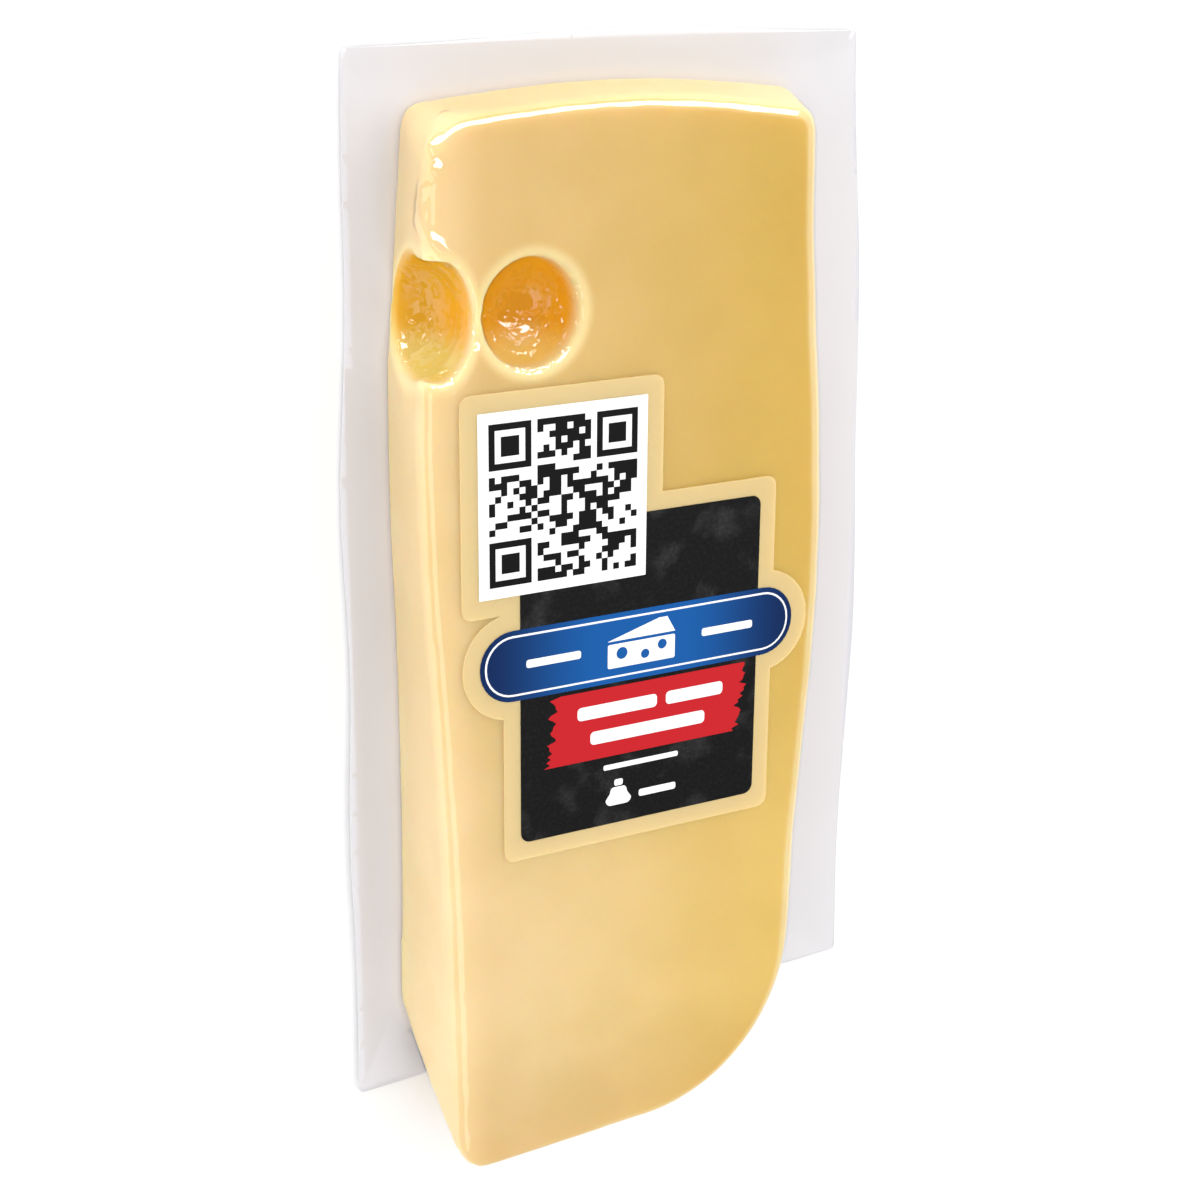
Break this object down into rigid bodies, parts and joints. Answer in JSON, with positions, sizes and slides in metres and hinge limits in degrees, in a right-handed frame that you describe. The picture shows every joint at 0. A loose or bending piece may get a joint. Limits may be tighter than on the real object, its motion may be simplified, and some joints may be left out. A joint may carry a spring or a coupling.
{
  "type": "vacuum-packed cheese wedge",
  "caption": "Wedge of pale yellow eyed cheese, cut at one end and rounded by its rind at the other, vacuum-packed between a clear skin film and a pale backing film, with a label on its face.",
  "frame": {"origin": "centre of the bounding box in plan, on the underside of the back film, which is the plane the pack lies on", "axes": "+Z out of the labelled face, +Y along the wedge towards its square cut end, +X towards the side with the wider film margin"},
  "size_m": [0.0874, 0.1632, 0.0173],
  "materials": {
    "cheese": null,
    "back_film": "pale grey translucent film, satin",
    "clear_film": "clear film, glossy",
    "label": "clear carrier with dark matt print"
  },
  "bodies": {
    "root": {"cheese_wedge": "cheese", "back_film": "back_film", "top_film": "clear_film", "front_label": "label"}
  },
  "joints": []
}
